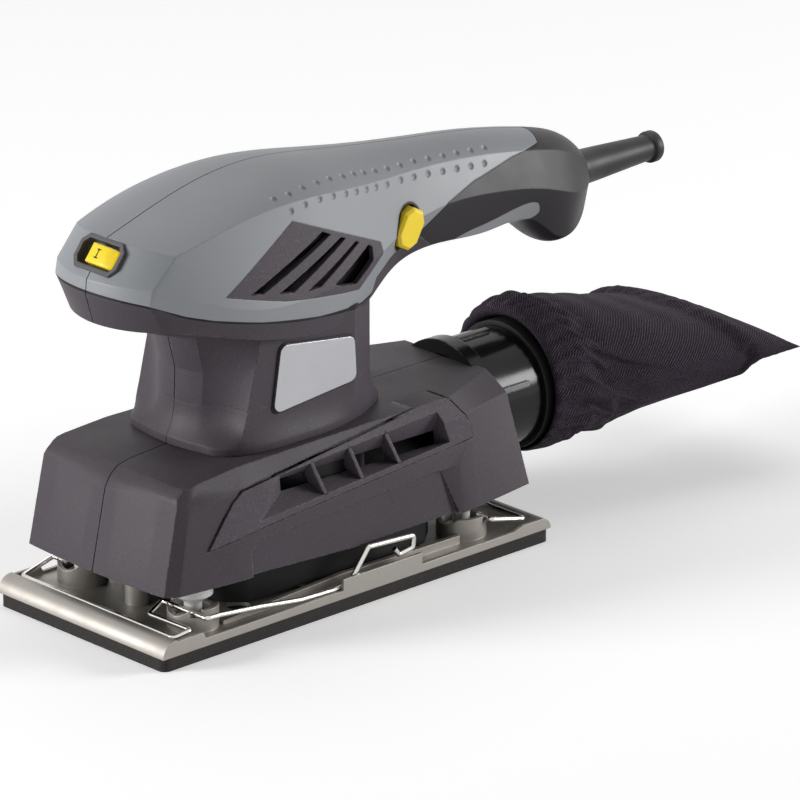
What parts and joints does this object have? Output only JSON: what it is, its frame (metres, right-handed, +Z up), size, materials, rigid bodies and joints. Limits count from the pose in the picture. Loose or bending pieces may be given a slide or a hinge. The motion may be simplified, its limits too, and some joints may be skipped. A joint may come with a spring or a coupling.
{
  "type": "orbital sander",
  "caption": "Third-sheet orbital sander with a rear handle, lever-operated paper clamps, four flexible legs, a side vent and a cloth dust bag on a clear tube.",
  "frame": {"origin": "centre of the sole's bottom face", "axes": "-X to the nose, +X to the dust bag, -Y to the side with the lock button, +Z up"},
  "size_m": [0.3195, 0.099, 0.1619],
  "materials": {
    "grey_shell": "satin",
    "dark_shell": "fine spark texture",
    "soft_grip": "soft satin",
    "black_gloss": "gloss",
    "black_matte": "matte",
    "yellow": "gloss",
    "badge_silver": "satin",
    "cast_aluminium": "as cast",
    "wire": "polished",
    "sole_foam": "closed-cell foam",
    "leg_rubber": "gloss",
    "cloth": "twill",
    "steel": "turned",
    "laminations": "stacked sheet",
    "copper": "enamelled wire",
    "carbon": "carbon"
  },
  "bodies": {
    "housing": {"top_shell_left": "grey_shell", "top_shell_right": "grey_shell", "handle_grip_left": "soft_grip", "handle_grip_right": "soft_grip", "vent_grille_left": "black_matte", "vent_grille_right": "black_matte", "neck_left": "dark_shell", "neck_right": "dark_shell", "badge_left": "badge_silver", "badge_right": "badge_silver", "base_shell_left": "dark_shell", "base_shell_right": "dark_shell", "side_vent_left": "dark_shell", "side_vent_right": "dark_shell", "switch_bezel": "black_matte", "switch_body": "black_matte", "button_bezel": "black_matte", "button_spring": "steel", "cord_sleeve": "soft_grip", "suppressor_capacitor": "yellow", "stator_core": "laminations", "field_windings": "copper", "brush_holders": "black_matte", "carbon_brushes": "carbon", "upper_bearing": "steel", "lower_bearing": "steel", "bearing_cap": "black_matte", "bearing_bridge": "cast_aluminium", "bridge_screws": "steel", "fan_baffle": "black_matte", "housing_screws": "steel", "base_screws": "steel", "dust_outlet": "black_gloss"},
    "rotor": {"motor_shaft": "steel", "armature_core": "laminations", "armature_windings": "copper", "commutator": "copper", "cooling_fan": "black_matte", "eccentric_weight": "cast_aluminium"},
    "plate": {"base_plate": "cast_aluminium", "foam_pad": "sole_foam", "plate_bearing": "steel", "bearing_retainer": "steel", "retainer_screws": "steel", "leg_posts": "leg_rubber", "leg_screws": "steel"},
    "front_clamp": {"front_clamp_wire": "wire"},
    "rear_clamp": {"rear_clamp_wire": "wire"},
    "slider": {"switch_slider": "yellow"},
    "button": {"lock_button": "yellow"},
    "bag": {"dust_adapter": "black_gloss", "bag_collar": "black_matte", "dust_bag": "cloth"}
  },
  "joints": [
    {"name": "motor_spin", "type": "hinge", "parent": "housing", "child": "rotor", "pos_m": [-0.003, 0, 0.09], "axis": [0, 0, 1], "continuous": true},
    {"name": "plate_orbit", "type": "hinge", "parent": "rotor", "child": "plate", "pos_m": [-0.002, 0, 0.016], "axis": [0, 0, 1], "continuous": true, "deforming": ["leg_posts"]},
    {"name": "front_clamp_lift", "type": "hinge", "parent": "plate", "child": "front_clamp", "pos_m": [-0.0727, 0, 0.0141], "axis": [0, -1, 0], "range_deg": [0, 8.5]},
    {"name": "rear_clamp_lift", "type": "hinge", "parent": "plate", "child": "rear_clamp", "pos_m": [0.0687, 0, 0.0141], "axis": [0, 1, 0], "range_deg": [0, 6.5]},
    {"name": "switch_slide", "type": "slide", "parent": "housing", "child": "slider", "axis": [0, 1, 0], "range_m": [0, 0.005]},
    {"name": "lock_button_push", "type": "slide", "parent": "housing", "child": "button", "axis": [0, 1, 0], "range_m": [0, 0.0025], "stiffness_N_per_m": 600, "deforming": ["button_spring"]},
    {"name": "dust_bag_slide", "type": "slide", "parent": "housing", "child": "bag", "axis": [1, 0, 0], "range_m": [0, 0.035]}
  ],
  "couplings": [
    {"joint": "plate_orbit", "follows": "motor_spin", "ratio": -1}
  ]
}
